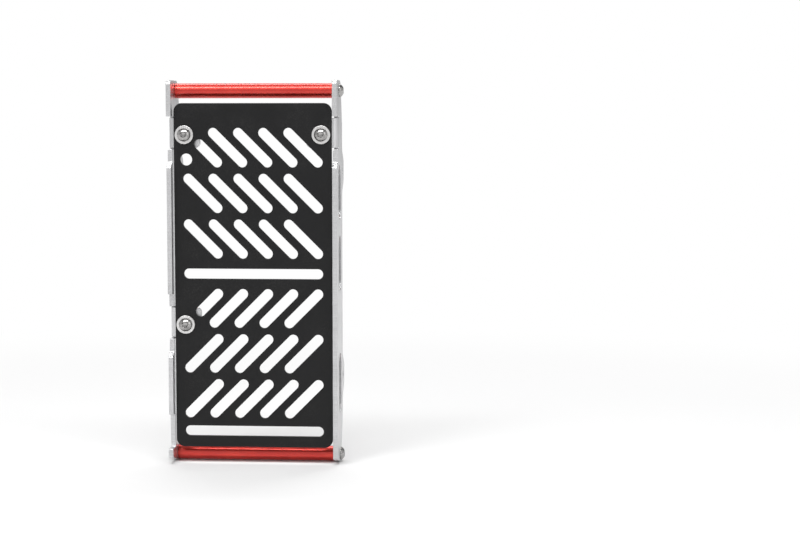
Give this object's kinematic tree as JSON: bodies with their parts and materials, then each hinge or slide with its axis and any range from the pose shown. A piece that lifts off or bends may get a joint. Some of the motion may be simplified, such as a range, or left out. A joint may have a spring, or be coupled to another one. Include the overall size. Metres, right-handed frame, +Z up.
{
  "type": "motorcycle radiator guard",
  "caption": "Slotted sheet guard for one radiator: a herringbone front plate screwed to bent tabs of two side plates, which two round spacers hold apart.",
  "frame": {"origin": "midway across the width and the depth, at the level of the side plates' lower ends", "axes": "+Z up along the front plate's height, -Y the way the front plate faces, +X from the outer side plate to the inner one"},
  "size_m": [0.1496, 0.058, 0.323],
  "materials": {
    "black_coat": "satin black powder coat on aluminium sheet",
    "bare_aluminium": "brushed bare aluminium sheet with cut edges",
    "red_anodised": "satin red anodised turned bar",
    "stainless": "bright stainless steel",
    "plated_steel": "zinc plated steel"
  },
  "bodies": {
    "root": {"front_plate": "black_coat", "outer_side_plate": "bare_aluminium", "inner_side_plate": "bare_aluminium", "top_spacer": "red_anodised", "low_spacer": "red_anodised", "upper_outer_screw": "stainless", "lower_outer_screw": "stainless", "upper_inner_screw": "stainless", "upper_outer_washer": "stainless", "lower_outer_washer": "stainless", "upper_inner_washer": "stainless", "upper_outer_nut": "plated_steel", "lower_outer_nut": "plated_steel", "upper_inner_nut": "plated_steel", "top_spacer_outer_screw": "stainless", "top_spacer_inner_screw": "stainless", "low_spacer_outer_screw": "stainless", "low_spacer_inner_screw": "stainless"}
  },
  "joints": []
}
